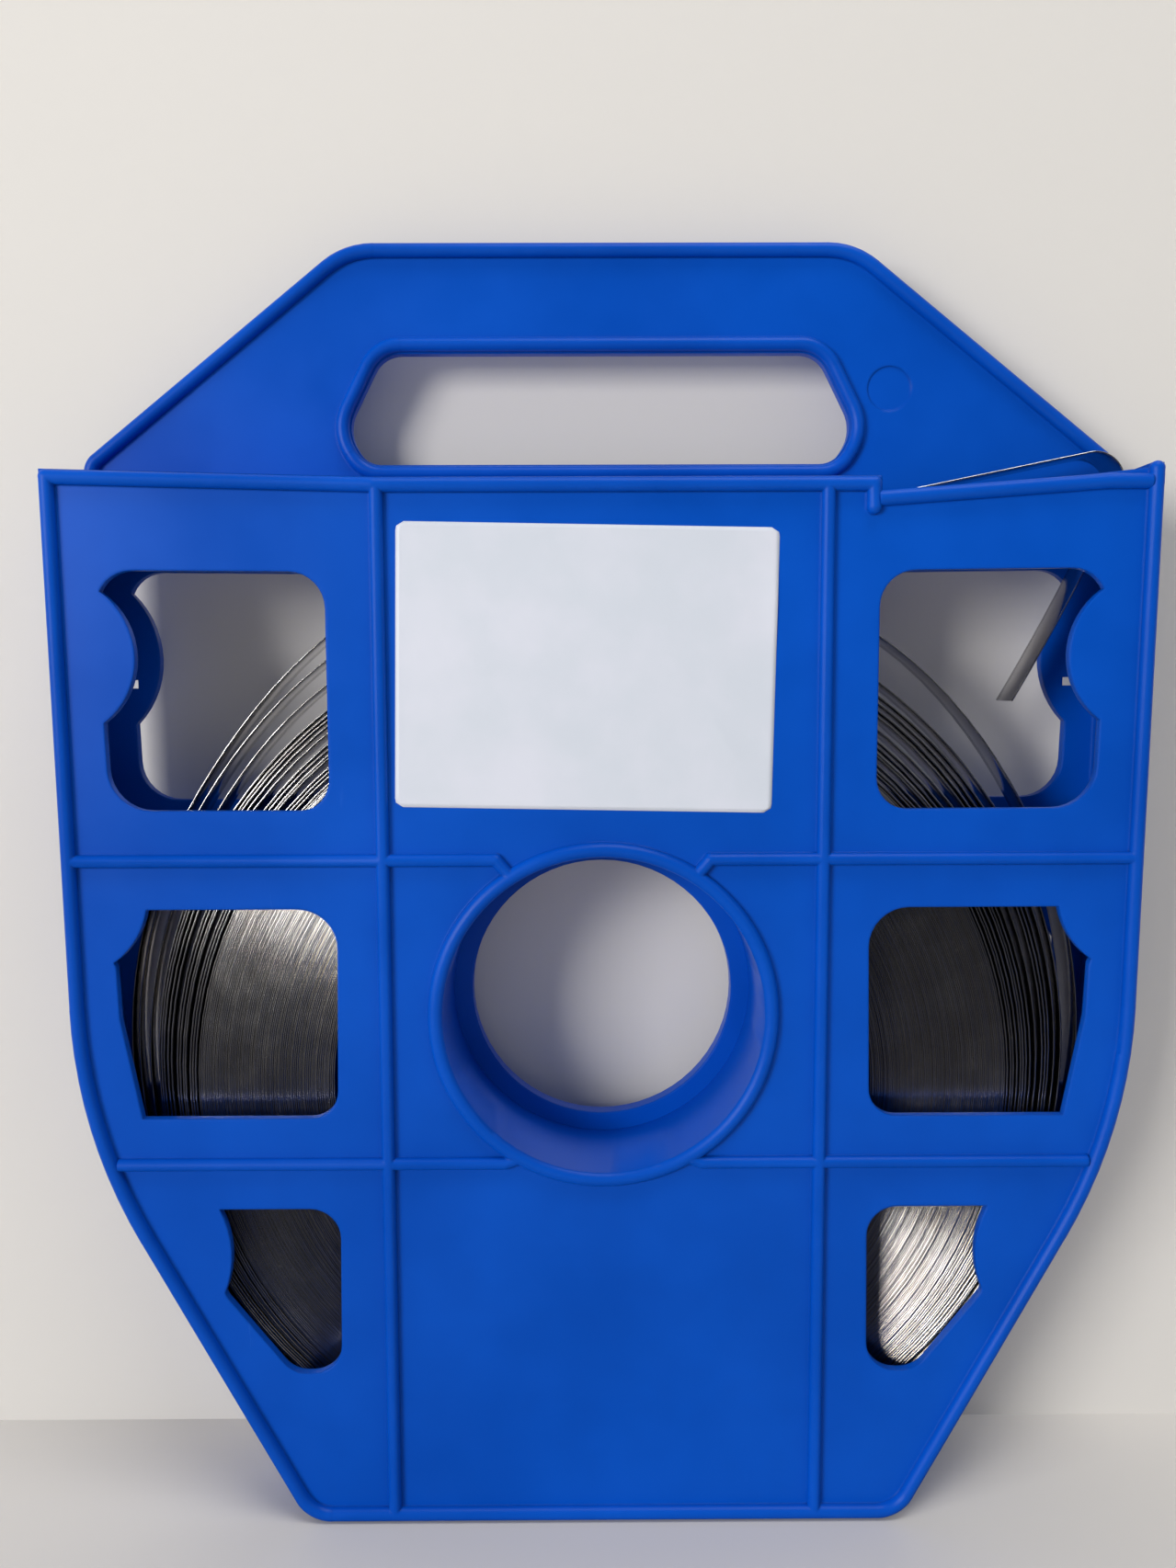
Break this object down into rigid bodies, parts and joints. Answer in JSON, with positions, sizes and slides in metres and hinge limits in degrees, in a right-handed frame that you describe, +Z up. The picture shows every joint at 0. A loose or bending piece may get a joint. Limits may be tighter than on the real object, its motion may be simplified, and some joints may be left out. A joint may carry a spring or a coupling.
{
  "type": "steel strapping coil",
  "caption": "Coil of flat steel strap loose in a moulded blue plastic carrying case with a handle, hub, side windows and a mouth for the strap's free end.",
  "frame": {"origin": "centre of the standing object's footprint, on the surface that it stands on", "axes": "+X to the right seen from the front, +Y from the front face to the back, +Z up to the handle"},
  "size_m": [0.2458, 0.031, 0.2994],
  "materials": {
    "blue_plastic": "satin moulded surface",
    "strap_steel": "bright rolled strip",
    "label_paper": null
  },
  "bodies": {
    "root": {"case_front": "blue_plastic", "case_back": "blue_plastic", "strap_coil": "strap_steel", "label": "label_paper"}
  },
  "joints": []
}
